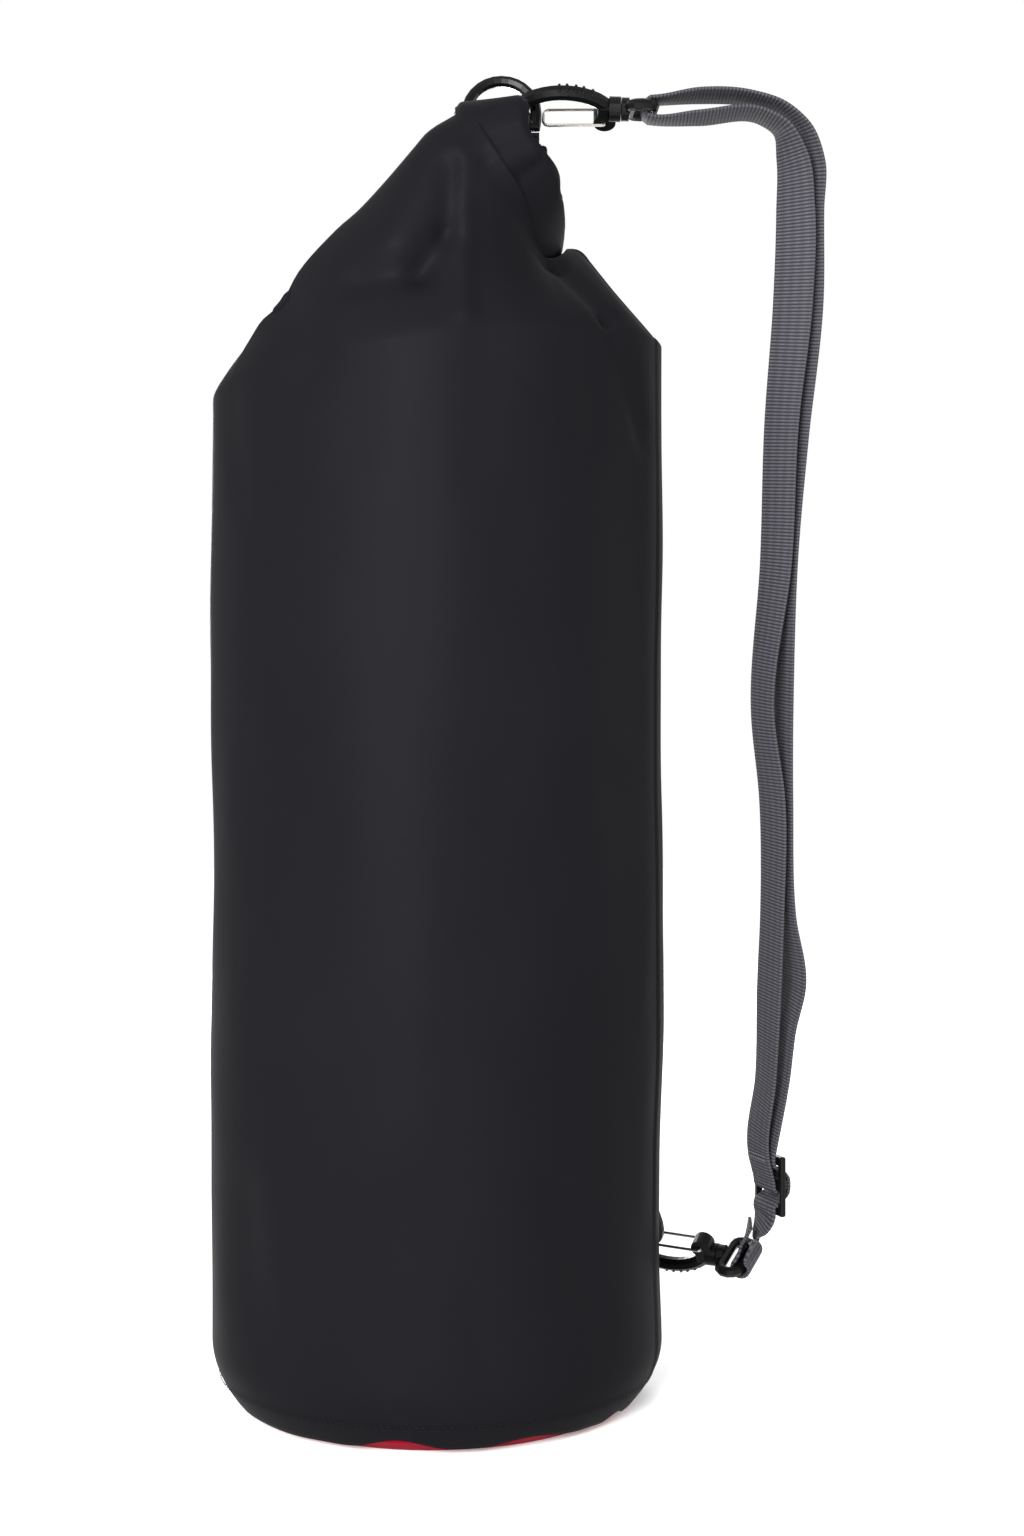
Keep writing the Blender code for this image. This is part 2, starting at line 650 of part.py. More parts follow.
# top hook: it hangs on the ring's right side, with its spine up and towards -Y
TOP_HOOK = frame_at((0.0962, -0.0398, 0.6759), (-1, 0.001, 0.025), (0.010, -0.898, 0.440))
TOP_EYE = eye_at(TOP_HOOK, (0.07, 0.988, 0.12))
hook_body("top_hook_body", TOP_HOOK)
hook_gate("top_hook_gate", TOP_HOOK)
swivel_eye("top_hook_eye", TOP_EYE)

# the buckle joins the two ends of the roll
BUCKLE = frame_at((0.0415, 0, 0.6555), (1, 0, 0), (0, 1, 0))
buckle_female(BUCKLE)
buckle_male(BUCKLE)
for name, side in (("buckle_prong_left", -1), ("buckle_prong_right", 1)):
    buckle_prong(name, BUCKLE, side)
buckle_web("buckle_web_near", BUCKLE, -1, 0.0305, BUCKLE_THICK / 2)
buckle_web("buckle_web_far", BUCKLE, 1, 0.0295, 0.0044)

# lower ring on its patch on the strap side, and its hook
PATCH_ANGLE = radians(30)
OUTWARD = Vector((cos(PATCH_ANGLE), sin(PATCH_ANGLE), 0))
SIDEWAYS = Vector((-sin(PATCH_ANGLE), cos(PATCH_ANGLE), 0))
wrapped_strip("bottom_patch", PATCH_ANGLE, 0.056, 0.038, 0.126, GAP, 0.0012, (BLACK, 0.6))
LOW_RING_BAR = OUTWARD * 0.1268 + Vector((0, 0, 0.0893))
LOW_RING = frame_at(LOW_RING_BAR, SIDEWAYS, OUTWARD * 0.387 - Vector((0, 0, 0.922)))
d_ring("bottom_d_ring", LOW_RING, LOW_RING_SIDE)
ring_tab("bottom_ring_tab", frame_at(LOW_RING_BAR, SIDEWAYS, (0, 0, -1)), 0.0160, TAB_WIDTH)
LOW_HOOK = frame_at((0.1551, 0.0480, 0.0630), (-0.911, 0.412, 0.020), (0.189, 0.460, -0.867))
LOW_EYE = eye_at(LOW_HOOK, (-0.35, -0.88, -0.32))
hook_body("bottom_hook_body", LOW_HOOK)
hook_gate("bottom_hook_gate", LOW_HOOK)
swivel_eye("bottom_hook_eye", LOW_EYE)

# the strap: the front run is sewn to the slider, and the back run slides through it
SLIDER_TURN = radians(70)
SLIDER_ACROSS = Vector((cos(SLIDER_TURN), -sin(SLIDER_TURN), 0))
SLIDER_NORMAL = Vector((sin(SLIDER_TURN), cos(SLIDER_TURN), 0))
SLIDER = frame_at((0.1830, 0.0380, 0.1055), SLIDER_ACROSS, SLIDER_NORMAL)
slider_frame("strap_slider", SLIDER)
FRONT_RUN = [
    (0.1795, 0.0300, 0.1640, 72), (0.1807, 0.0237, 0.2135, 67), (0.1817, 0.0183, 0.2554, 68),
    (0.1807, 0.0100, 0.3182, 65), (0.1748, 0.0038, 0.3651, 69), (0.1807, -0.0072, 0.4464, 56),
    (0.1824, -0.0168, 0.5168, 52), (0.1873, -0.0257, 0.5804, 42), (0.1878, -0.0321, 0.6254, 45),
    (0.1854, -0.0360, 0.6529, 60), (0.1800, -0.0390, 0.6660, 80), (0.1690, -0.0400, 0.6725, 88),
    (0.1373, -0.0400, 0.6715, 92),
]
BACK_RUN = [
    (0.1373, -0.0400, 0.6830, 92), (0.1630, -0.0400, 0.6815, 90), (0.1815, -0.0385, 0.6750, 86),
    (0.1905, -0.0355, 0.6660, 75), (0.1950, -0.0310, 0.6500, 58), (0.1934, -0.0271, 0.6267, 46),
    (0.1935, -0.0207, 0.5815, 42), (0.1883, -0.0106, 0.5088, 52), (0.1845, -0.0022, 0.4469, 56),
    (0.1856, 0.0084, 0.3685, 69), (0.1856, 0.0150, 0.3182, 65), (0.1888, 0.0233, 0.2551, 68),
    (0.1948, 0.0282, 0.2168, 67), (0.1899, 0.0315, 0.1912, 68), (0.1873, 0.0350, 0.1636, 70),
]
make_strap()
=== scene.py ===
"""Looks of the roll-top rope storage bag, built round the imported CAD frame."""

import bpy
import bmesh
from math import cos, exp, pi, radians, sin
from mathutils import Matrix, Vector, noise


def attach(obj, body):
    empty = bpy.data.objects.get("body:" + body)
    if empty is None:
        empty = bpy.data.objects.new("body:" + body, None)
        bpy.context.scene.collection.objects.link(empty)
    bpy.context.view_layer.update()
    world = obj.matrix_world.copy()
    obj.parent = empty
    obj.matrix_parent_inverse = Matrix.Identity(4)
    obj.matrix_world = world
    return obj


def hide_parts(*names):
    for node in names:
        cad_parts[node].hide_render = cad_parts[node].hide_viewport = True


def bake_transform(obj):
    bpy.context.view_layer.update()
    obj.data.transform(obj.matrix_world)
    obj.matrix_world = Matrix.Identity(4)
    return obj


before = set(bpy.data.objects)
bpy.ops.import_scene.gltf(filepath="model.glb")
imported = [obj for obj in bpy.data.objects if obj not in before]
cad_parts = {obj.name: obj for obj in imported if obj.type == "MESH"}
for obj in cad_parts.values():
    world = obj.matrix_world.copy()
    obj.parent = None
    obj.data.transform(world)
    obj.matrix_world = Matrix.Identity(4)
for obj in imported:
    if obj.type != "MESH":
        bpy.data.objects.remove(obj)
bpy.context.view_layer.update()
SCENE = bpy.context.scene

# ---- sizes that the CAD fixes ------------------------------------------------------------------
BAG_RADIUS = 0.120
HEM_HEIGHT = 0.035
HEM_INSET = 0.016
SHOULDER_HEIGHT = 0.5425
SHOULDER_LEAN = 0.0145
FOLD_ANGLE = radians(150)
ROLL_WIDTH = 0.038
ROLL_THICKNESS = 0.012
ROLL_SHARE = 0.84
WEB_WIDTH = 0.025
WEB_THICKNESS = 0.0018
CLEARANCE = 0.0004
EYE_REACH = 0.0165
EYE_BAR_RADIUS = 0.0037
PATCH_WIDTH = 0.056
PATCH_ANGLE = radians(30)
# half of the roll, from its middle to its near end: x, y, z and the tilt of its width in degrees
ROLL_LINE = [
    (0.0600, 0.000, 0.6070, 80),
    (0.0580, -0.035, 0.6080, 74),
    (0.0510, -0.070, 0.6160, 54),
    (0.0385, -0.093, 0.6330, 38),
    (0.0315, -0.092, 0.6540, 18),
    (0.0295, -0.076, 0.6640, 5),
    (0.0300, -0.052, 0.6630, 0),
]

# ---- sizes of the cloth that only the looks have -----------------------------------------------
CLOTH_WALL = 0.0011
SEAM_ANGLE = radians(-16)
SEAM_LAP = radians(8.5)
SEAM_STEP = radians(0.8)
RIB_PITCH = 0.0018
END_PITCH = 0.0011
# flat panels of the shoulder: a point's x and height on the middle plane, and the slope along x
PANELS = [(0.0068, 0.6776, 0.957), (-0.1210, 0.5285, 1.86), (0.0647, 0.6270, -1.20)]
PANEL_FALL = 0.27
PANEL_SOFT = 0.004

# ---- camera ------------------------------------------------------------------------------------
camera = bpy.data.objects.new("camera", bpy.data.cameras.new("camera"))
SCENE.collection.objects.link(camera)
camera.location = (0.040, -1.144, 0.335)
camera.rotation_euler = (radians(90), 0, 0)
camera.data.lens = 50
camera.data.sensor_width = 36
camera.data.sensor_fit = "AUTO"
SCENE.camera = camera


# ---- materials ---------------------------------------------------------------------------------
class Look:
    """A node material with short ways to add nodes and links."""

    def __init__(self, name):
        self.made = bpy.data.materials.new(name)
        self.made.use_nodes = True
        self.tree = self.made.node_tree
        self.shader = self.tree.nodes["Principled BSDF"]

    def node(self, kind, **values):
        made = self.tree.nodes.new(kind)
        for key, value in values.items():
            if key in made.inputs:
                made.inputs[key].default_value = value
            else:
                setattr(made, key, value)
        return made

    def link(self, a, b):
        self.tree.links.new(a, b)

    def set(self, **values):
        for key, value in values.items():
            self.shader.inputs[key.replace("_", " ")].default_value = value

    def bump(self, height, strength, distance):
        made = self.node("ShaderNodeBump", Strength=strength, Distance=distance)
        self.link(height, made.inputs["Height"])
        last = self.shader.inputs["Normal"]
        if last.is_linked:
            self.link(last.links[0].from_socket, made.inputs["Normal"])
        self.link(made.outputs["Normal"], last)

    def mix(self, factor, low, high):
        ramp = self.node("ShaderNodeMix", data_type="RGBA")
        self.link(factor, ramp.inputs[0])
        ramp.inputs[6].default_value = (*low, 1)
        ramp.inputs[7].default_value = (*high, 1)
        return ramp.outputs[2]


def tarpaulin(name, dark, light, rough):
    """Coated cloth: a fine grain, and slow changes of shade and sheen."""
    look = Look(name)
    place = look.node("ShaderNodeTexCoord").outputs["Object"]
    slow = look.node("ShaderNodeTexNoise", Scale=9.0, Detail=3.0)
    grain = look.node("ShaderNodeTexNoise", Scale=2600.0, Detail=2.0)
    weave = look.node("ShaderNodeTexNoise", Scale=420.0, Detail=3.0)
    for texture in (slow, grain, weave):
        look.link(place, texture.inputs["Vector"])
    look.link(look.mix(slow.outputs[0], dark, light), look.shader.inputs["Base Color"])
    sheen = look.node("ShaderNodeMapRange")
    sheen.inputs["To Min"].default_value = rough - 0.06
    sheen.inputs["To Max"].default_value = rough + 0.08
    look.link(slow.outputs[0], sheen.inputs["Value"])
    look.link(sheen.outputs[0], look.shader.inputs["Roughness"])
    look.set(Specular_IOR_Level=0.015)
    look.bump(weave.outputs[0], 0.10, 0.0004)
    look.bump(grain.outputs[0], 0.06, 0.0001)
    return look.made


def webbing(name, dark, light):
    """Ribbed webbing: ribs run across the strap and fine ends along it, from the strap's own map, with
    painted shade darkening the grooves between them.
    """
    look = Look(name)
    split = look.node("ShaderNodeSeparateXYZ")
    look.link(look.node("ShaderNodeUVMap").outputs[0], split.inputs[0])

    def waves(socket, pitch):
        turn = look.node("ShaderNodeMath", operation="MULTIPLY")
        turn.inputs[1].default_value = 2 * pi / pitch
        look.link(socket, turn.inputs[0])
        wave = look.node("ShaderNodeMath", operation="SINE")
        look.link(turn.outputs[0], wave.inputs[0])
        raised = look.node("ShaderNodeMapRange")
        raised.inputs["From Min"].default_value = -1.0
        look.link(wave.outputs[0], raised.inputs["Value"])
        return raised.outputs[0]

    ribs = waves(split.outputs[0], RIB_PITCH)
    ends = waves(split.outputs[1], END_PITCH)
    fuzz = look.node("ShaderNodeTexNoise", Scale=1500.0, Detail=2.0)
    look.link(look.node("ShaderNodeTexCoord").outputs["Object"], fuzz.inputs["Vector"])
    both = look.node("ShaderNodeMath", operation="MULTIPLY")
    look.link(ribs, both.inputs[0])
    look.link(ends, both.inputs[1])
    weave = look.node("ShaderNodeMix", data_type="FLOAT")
    weave.inputs["Factor"].default_value = 0.30
    look.link(ribs, weave.inputs["A"])
    look.link(both.outputs[0], weave.inputs["B"])
    # painted shade: the colour runs from the dark value in the low grooves of the weave to the light
    # value on its crests
    look.link(look.mix(weave.outputs[0], dark, light), look.shader.inputs["Base Color"])
    look.set(Roughness=0.82, Specular_IOR_Level=0.25)
    look.bump(weave.outputs[0], 0.55, 0.0004)
    look.bump(fuzz.outputs[0], 0.25, 0.0002)
    return look.made


def plastic(name, colour, rough):
    """Moulded nylon: satin, with a very slight orange-peel skin."""
    look = Look(name)
    skin = look.node("ShaderNodeTexNoise", Scale=350.0, Detail=2.0)
    look.link(look.node("ShaderNodeTexCoord").outputs["Object"], skin.inputs["Vector"])
    look.set(Base_Color=(*colour, 1), Specular_IOR_Level=0.10)
    patchy = look.node("ShaderNodeMapRange")
    patchy.inputs["To Min"].default_value = rough - 0.04
    patchy.inputs["To Max"].default_value = rough + 0.08
    look.link(skin.outputs[0], patchy.inputs["Value"])
    look.link(patchy.outputs[0], look.shader.inputs["Roughness"])
    look.bump(skin.outputs[0], 0.08, 0.0003)
    return look.made


def wire(name):
    """Drawn steel wire, slightly uneven."""
    look = Look(name)
    drawn = look.node("ShaderNodeTexNoise", Scale=900.0, Detail=2.0)
    look.link(look.node("ShaderNodeTexCoord").outputs["Object"], drawn.inputs["Vector"])
    colour = look.mix(drawn.outputs[0], (0.36, 0.34, 0.32), (0.46, 0.44, 0.42))
    look.link(colour, look.shader.inputs["Base Color"])
    look.set(Metallic=1.0, Roughness=0.22)
    look.bump(drawn.outputs[0], 0.05, 0.0001)
    return look.made


def thread(name, colour):
    """Twisted sewing thread, with painted shade darkening its grooves."""
    look = Look(name)
    twist = look.node("ShaderNodeTexNoise", Scale=1800.0, Detail=1.0)
    look.link(look.node("ShaderNodeTexCoord").outputs["Object"], twist.inputs["Vector"])
    # painted shade: the grooves of the twist, low in the bump, take a colour 0.7 times as bright
    groove_shade_colour = tuple(c * 0.7 for c in colour)
    look.link(look.mix(twist.outputs[0], groove_shade_colour, colour), look.shader.inputs["Base Color"])
    look.set(Roughness=0.8, Specular_IOR_Level=0.05)
    look.bump(twist.outputs[0], 0.3, 0.0002)
    return look.made


TARP = tarpaulin("tarpaulin_black", (0.0044, 0.0044, 0.0054), (0.0058, 0.0058, 0.0071), 0.50)
PATCH_TARP = tarpaulin("tarpaulin_patch", (0.0044, 0.0044, 0.0050), (0.0060, 0.0060, 0.0068), 0.46)
RED = tarpaulin("tarpaulin_red", (0.16, 0.0010, 0.0090), (0.21, 0.0014, 0.0120), 0.5)
# painted shade: each webbing's first colour is the shade in its grooves, the second the colour of its
# crests
WEBBING = webbing("webbing_grey", (0.010, 0.0095, 0.012), (0.064, 0.061, 0.073))
DARK_WEBBING = webbing("webbing_dark", (0.004, 0.004, 0.0045), (0.010, 0.010, 0.011))
NYLON = plastic("nylon_black", (0.0025, 0.0025, 0.0028), 0.30)
STIFFENER = plastic("stiffener_black", (0.015, 0.015, 0.015), 0.5)
STEEL = wire("wire_steel")
BLACK_THREAD = thread("thread_black", (0.0065, 0.0065, 0.0075))
GREY_THREAD = thread("thread_grey", (0.20, 0.19, 0.21))


# ---- helpers -----------------------------------------------------------------------------------
def finish_piece(name, mesh, look, angle=35):
    """A smooth-shaded object made of a mesh, with its material and slot."""
    thing = bpy.data.objects.new(name, mesh)
    SCENE.collection.objects.link(thing)
    mesh.materials.append(look)
    mesh.shade_smooth()
    mesh.set_sharp_from_angle(angle=radians(angle))
    return thing


def taken(name, shape):
    """The mesh of a finished bmesh."""
    mesh = bpy.data.meshes.new(name)
    shape.to_mesh(mesh)
    shape.free()
    return mesh


def grid_mesh(name, rows, caps=False, uv=None):
    """A mesh of quads between closed rows of equally many points, with an optional map of metres."""
    shape = bmesh.new()
    layer = shape.loops.layers.uv.new("map") if uv else None
    made = [[shape.verts.new(p) for p in row] for row in rows]
    width = len(rows[0])
    for r in range(len(made) - 1):
        for k in range(width):
            n = (k + 1) % width
            face = shape.faces.new((made[r][k], made[r][n], made[r + 1][n], made[r + 1][k]))
            if layer:
                corners = ((r, k), (r, n), (r + 1, n), (r + 1, k))
                for loop, (i, j) in zip(face.loops, corners):
                    loop[layer].uv = (uv[0][i], uv[1][j])
    if caps:
        for row, flip in ((made[0], True), (made[-1], False)):
            face = shape.faces.new(row[::-1] if flip else row)
            if layer:
                for loop in face.loops:
                    loop[layer].uv = (0, 0)
    bmesh.ops.recalc_face_normals(shape, faces=shape.faces)
    return taken(name, shape)


def smooth_line(points, step):
    """Points about a step apart on one smooth curve through rows of numbers."""
    rows = [Vector(point) for point in points]
    ends = [2 * rows[0] - rows[1], *rows, 2 * rows[-1] - rows[-2]]
    found = []
    for a, b, c, d in zip(ends, ends[1:], ends[2:], ends[3:]):
        parts = max(1, round((Vector(c[:3]) - Vector(b[:3])).length / step))
        for n in range(parts):
            t = n / parts
            found.append(
                0.5 * ((2 * b) + (c - a) * t + (2 * a - 5 * b + 4 * c - d) * t**2
                       + (3 * b - a - 3 * c + d) * t**3)
            )
    found.append(rows[-1])
    return found


def rounded(centre, across, normal, width, thickness, steps):
    """The outline of a flat section whose two ends are half circles."""
    radius = thickness / 2
    found = []
    for side, begin in ((1, -pi / 2), (-1, pi / 2)):
        for n in range(2 * steps + 2):
            angle = begin + pi * n / (2 * steps + 1)
            a = side * (width / 2 - radius) + radius * cos(angle)
            found.append(centre + across * a + normal * (radius * sin(angle)))
    return found


def frame_at(origin, x_axis, y_hint):
    """A place whose +X is x_axis and whose +Y leans towards y_hint."""
    x = Vector(x_axis).normalized()
    y = Vector(y_hint)
    y = (y - x * x.dot(y)).normalized()
    turn = Matrix((x, y, x.cross(y))).transposed().to_4x4()
    return Matrix.Translation(origin) @ turn


def stitches(name, points, normals, look, length=0.0026, pitch=0.0038, thick=0.00035):
    """A run of short threads along points, each lying on the surface with the given normal."""
    shape = bmesh.new()
    travelled, due = 0.0, 0.0
    for a, b, normal in zip(points, points[1:], normals):
        step = (b - a).length
        while step > 0 and due <= travelled + step:
            middle = a.lerp(b, (due - travelled) / step)
            place = frame_at(middle + normal * thick * 0.4, b - a, normal)
            size = Matrix.Diagonal((length / 2, thick, thick, 1))
            bmesh.ops.create_icosphere(shape, subdivisions=1, radius=1, matrix=place @ size)
            due += pitch
        travelled += step
    return finish_piece(name, taken(name, shape), look)


# ---- the bag's shell ---------------------------------------------------------------------------
def roll_stations(step):
    """The roll's sections, near end to far: middle, width's direction, normal, and share of -1 to 1."""
    half = smooth_line(ROLL_LINE, step)
    near = [(Vector(p[:3]), radians(p[3])) for p in half[::-1]]
    far = [(Vector((p.x, -p.y, p.z)), angle) for p, angle in near[-2::-1]]
    line = near + far
    lengths = [0.0]
    for a, b in zip(line, line[1:]):
        lengths.append(lengths[-1] + (b[0] - a[0]).length)
    found = []
    for n, (middle, angle) in enumerate(line):
        before, after = line[max(n - 1, 0)][0], line[min(n + 1, len(line) - 1)][0]
        along = (after - before).normalized()
        across = Vector((cos(angle), 0, sin(angle)))
        across = (across - along * across.dot(along)).normalized()
        found.append((middle, across, along.cross(across), 2 * lengths[n] / lengths[-1] - 1))
    return found


def at_share(stations, share):
    """The middle, width's direction and normal of the roll at a share of its length."""
    for a, b in zip(stations, stations[1:]):
        if share <= b[3] + 1e-9:
            t = (share - a[3]) / (b[3] - a[3])
            return [p.lerp(q, t) for p, q in zip(a[:3], b[:3])]
    return list(stations[-1][:3])


def hump(value, centre, width):
    """One at the centre, falling smoothly to nothing a width away."""
    t = max(0.0, 1 - abs(value - centre) / width)
    return t * t * (3 - 2 * t)


def bell(value, centre, width):
    """One at the centre, with soft tails on both sides."""
    return exp(-((value - centre) / width) ** 2)


def hem_radius(height):
    """The tube's radius, which draws in towards the base."""
    down = max(0.0, 1 - height / HEM_HEIGHT)
    return BAG_RADIUS - HEM_INSET * down**2


def shoulder_point(angle, v, stations):
    """A point of the shoulder, from the cylinder at v = 0 to the roll's lower edge at v = 1."""
    height = SHOULDER_HEIGHT + SHOULDER_LEAN * cos(angle)
    foot = Vector((BAG_RADIUS * cos(angle), BAG_RADIUS * sin(angle), height))
    if abs(angle) <= FOLD_ANGLE:
        share, side = angle / FOLD_ANGLE, 1
    else:
        turned = angle if angle > 0 else angle + 2 * pi
        share, side = (pi - turned) / (pi - FOLD_ANGLE), -1
    share = ROLL_SHARE * max(-0.985, min(0.985, share))
    middle, across, normal = at_share(stations, share)
    inside = sin(pi / 2 * (1 - abs(share))) if side < 0 else 0.0
    facing = max(0.0, cos(angle)) ** 2 if side > 0 else 0.0
    lift = 0.022 * max(0.0, (facing - 0.3) / 0.7)
    near = hump(share, -0.58, 0.34) if side > 0 else 0.0
    end = hump(share, -1.0, 0.55)
    edge = middle - across * (ROLL_WIDTH / 2 - 0.0040 - lift - 0.0120 * near)
    edge += normal * (side * 0.0024 + 0.0062 * min(1.0, 3 * facing) + 0.0064 * near)
    reach = (edge - foot).length
    start = Vector((0, 0, 1)) * reach * (0.50 - 0.10 * inside - 0.15 * facing - 0.12 * end)
    finish = across * reach * (0.40 - 0.20 * inside - 0.15 * facing)
    finish += Vector((-0.9, 0, -0.35)) * reach * facing
    finish += Vector((0.10, 0, 0.42)) * reach * end
    a, b = 2 * v**3 - 3 * v**2 + 1, v**3 - 2 * v**2 + v
    c, d = -2 * v**3 + 3 * v**2, v**3 - v**2
    point = foot * a + start * b + edge * c + finish * d
    return drawn_flat(point, max(0.0, min(1.0, 6 * v, 8 * (0.93 - v))))


def drawn_flat(point, share):
    """The empty cloth over the contents is pulled into flat panels, which nothing stands above."""
    limit = min(height + slope * (point.x - x) for x, height, slope in PANELS) + PANEL_FALL * point.y
    over = point.z - limit
    if over >= PANEL_SOFT:
        point.z -= share * over
    elif over > -PANEL_SOFT:
        point.z -= share * (over + PANEL_SOFT) ** 2 / (4 * PANEL_SOFT)
    return point


# soft folds of the near side: two ends (x, z), depth and half width
FOLDS = [
    ((-0.104, 0.520), (-0.096, 0.470), 0.0014, 0.0080),
    ((-0.060, 0.100), (-0.052, 0.030), 0.0012, 0.0100),
    ((0.020, 0.080), (0.030, 0.022), 0.0010, 0.0090),
    ((0.094, 0.330), (0.100, 0.250), 0.0012, 0.0090),
    ((0.006, 0.648), (-0.018, 0.593), -0.0042, 0.0140),
    ((-0.036, 0.573), (-0.005, 0.577), 0.0040, 0.0085),
    ((-0.005, 0.577), (0.008, 0.596), 0.0034, 0.0075),
    ((0.008, 0.596), (0.011, 0.628), 0.0026, 0.0060),
    ((0.016, 0.636), (0.017, 0.556), -0.0022, 0.0060),
    ((0.030, 0.632), (0.062, 0.596), 0.0034, 0.0060),
    ((0.062, 0.596), (0.090, 0.562), 0.0030, 0.0050),
    ((0.090, 0.562), (0.107, 0.505), 0.0026, 0.0050),
    ((0.079, 0.549), (0.080, 0.498), 0.0022, 0.0100),
    ((0.028, 0.560), (0.024, 0.480), 0.0014, 0.0120),
    ((-0.079, 0.574), (-0.058, 0.534), 0.0038, 0.0110),
    ((-0.052, 0.610), (-0.088, 0.566), -0.0024, 0.0090),
    ((-0.070, 0.330), (-0.040, 0.180), 0.0018, 0.0260),
    ((0.045, 0.470), (0.030, 0.200), 0.0016, 0.0240),
    ((0.062, 0.130), (0.086, 0.060), 0.0024, 0.0110),
    ((-0.095, 0.120), (-0.085, 0.040), 0.0022, 0.0130),
]


def relief(point, angle):
    """How far the cloth stands out of its smooth shape: folds, slow waves and the seam's lap."""
    out = 0.0022 * noise.noise(Vector((point.x * 9, point.y * 9, point.z * 6)))
    out += 0.0008 * noise.noise(Vector((point.x * 32, point.y * 32, point.z * 18 + 5)))
    if point.y < 0:
        spot = Vector((point.x, point.z))
        for a, b, depth, width in FOLDS:
            a, b = Vector(a), Vector(b)
            t = max(0.0, min(1.0, (spot - a).dot(b - a) / (b - a).length_squared))
            gap = (spot - a.lerp(b, t)).length / width
            out -= depth * exp(-gap * gap)
    rise = max(0.0, min(1.0, (angle - SEAM_ANGLE) / SEAM_STEP))
    lap = rise * max(0.0, min(1.0, (SEAM_LAP + SEAM_ANGLE - angle) / SEAM_STEP + 1))
    low = max(0.0, min(1.0, (point.z - 0.012) / 0.060))
    return out * low + 0.0009 * lap


def hem_edge(angle):
    """Height of the hem's lower edge, which waves round the base and lifts at the front."""
    height = 0.0032 + 0.0018 * noise.noise(Vector((4.2 * cos(angle), 4.2 * sin(angle), 1.7)))
    for middle, width, lift in ((-98, 13, 0.0050), (-62, 16, 0.0036), (-31, 6, 0.0030)):
        height += lift * hump(angle, radians(middle), radians(width))
    return height


def make_shell(sides=420):
    """The cloth of the tube: hem, straight side and gathered shoulder, with its folds and a wall."""
    stations = roll_stations(0.004)
    angles = [2 * pi * n / sides - pi for n in range(sides)]
    rows = []
    for n in range(16):
        share = n / 15
        row = []
        for a in angles:
            z = hem_edge(a) + (HEM_HEIGHT - hem_edge(a)) * share
            r = hem_radius(z)
            row.append(Vector((r * cos(a), r * sin(a), z)))
        rows.append(row)
    for n in range(1, 61):
        row = []
        for a in angles:
            top = SHOULDER_HEIGHT + SHOULDER_LEAN * cos(a)
            z = HEM_HEIGHT + (top - HEM_HEIGHT) * n / 60
            row.append(Vector((BAG_RADIUS * cos(a), BAG_RADIUS * sin(a), z)))
        rows.append(row)
    for n in range(1, 51):
        rows.append([shoulder_point(a, n / 50, stations) for a in angles])
    mesh = grid_mesh("bag_shell", rows)
    normals = [vertex.normal.copy() for vertex in mesh.vertices]
    last = len(rows) - 1
    for n, vertex in enumerate(mesh.vertices):
        row, side = divmod(n, sides)
        fade = min(1.0, row / 10) * min(1.0, (last - row) / 8)
        push = relief(vertex.co, angles[side]) * fade
        vertex.co += normals[n] * (push - 0.0004)
    shell = finish_piece("bag_shell", mesh, TARP, 60)
    wall = shell.modifiers.new("wall", "SOLIDIFY")
    wall.thickness = CLOTH_WALL
    wall.offset = -1
    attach(shell, "bag")
    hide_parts("bag_tube")
    return shell


def hem_line(height, lift, steps=360):
    """A ring of points on the hem at a height, and the directions out of the cloth there."""
    found, outward = [], []
    for n in range(steps + 1):
        a = 2 * pi * n / steps
        r = hem_radius(height) + lift
        found.append(Vector((r * cos(a), r * sin(a), height)))
        outward.append(Vector((cos(a), sin(a), -0.5)).normalized())
    return found, outward


def make_roll():
    """The rolled mouth: layers of cloth wound flat, showing at both edges and both ends."""
    stations = roll_stations(0.0016)
    rows = []
    for middle, across, normal, share in stations:
        waist = 0.0034 * hump(share, -0.68, 0.10) - 0.0016 * hump(share, -0.50, 0.09)
        waist += 0.0016 * hump(share, -0.40, 0.07) + 0.0024 * hump(share, 0.62, 0.12)
        pleat = 0.0016 * bell(share, -0.665, 0.022) + 0.0013 * bell(share, -0.565, 0.020)
        pleat += 0.0010 * bell(share, 0.50, 0.025) - 0.0009 * bell(share, -0.615, 0.020)
        section = []
        for p in rounded(middle, across, normal, ROLL_WIDTH, ROLL_THICKNESS, 7):
            off = p - middle
            a, t = off.dot(across), off.dot(normal)
            edge = max(0.0, (abs(a) - 0.012) / 0.007)
            layer = 0.00045 * cos(2 * pi * t / 0.0028) * min(1.0, edge)
            soft = 0.0011 * noise.noise(Vector((p.x * 26, p.y * 26, p.z * 26)))
            fine = 0.0005 * noise.noise(Vector((p.x * 80, p.y * 50, p.z * 80 + 3)))
            dip = -0.0010 * bell(a, -0.004 - 0.010 * sin(9 * share), 0.004)
            out = off.normalized() * (layer + soft + fine + dip - 0.0003)
            out -= across * max(0.0, a / (ROLL_WIDTH / 2)) * waist
            out -= normal * (t / (ROLL_THICKNESS / 2)) * pleat
            section.append(p + out)
        rows.append(section)
    mesh = grid_mesh("mouth_roll_cloth", tuck(stations, rows, (0.72, 0.84, 0.92, 0.97)), caps=True)
    roll = finish_piece("mouth_roll_cloth", mesh, TARP, 50)
    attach(roll, "bag")
    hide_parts("mouth_roll")


def tuck(stations, rows, pinch):
    """Rounds off both ends of the roll by drawing its last sections in."""
    drawn = [list(row) for row in rows]
    for end in (0, -1):
        order = range(len(pinch)) if end == 0 else range(-1, -len(pinch) - 1, -1)
        for keep, at in zip(pinch, order):
            middle = stations[at][0]
            drawn[at] = [middle + (p - middle) * keep for p in drawn[at]]
    return drawn


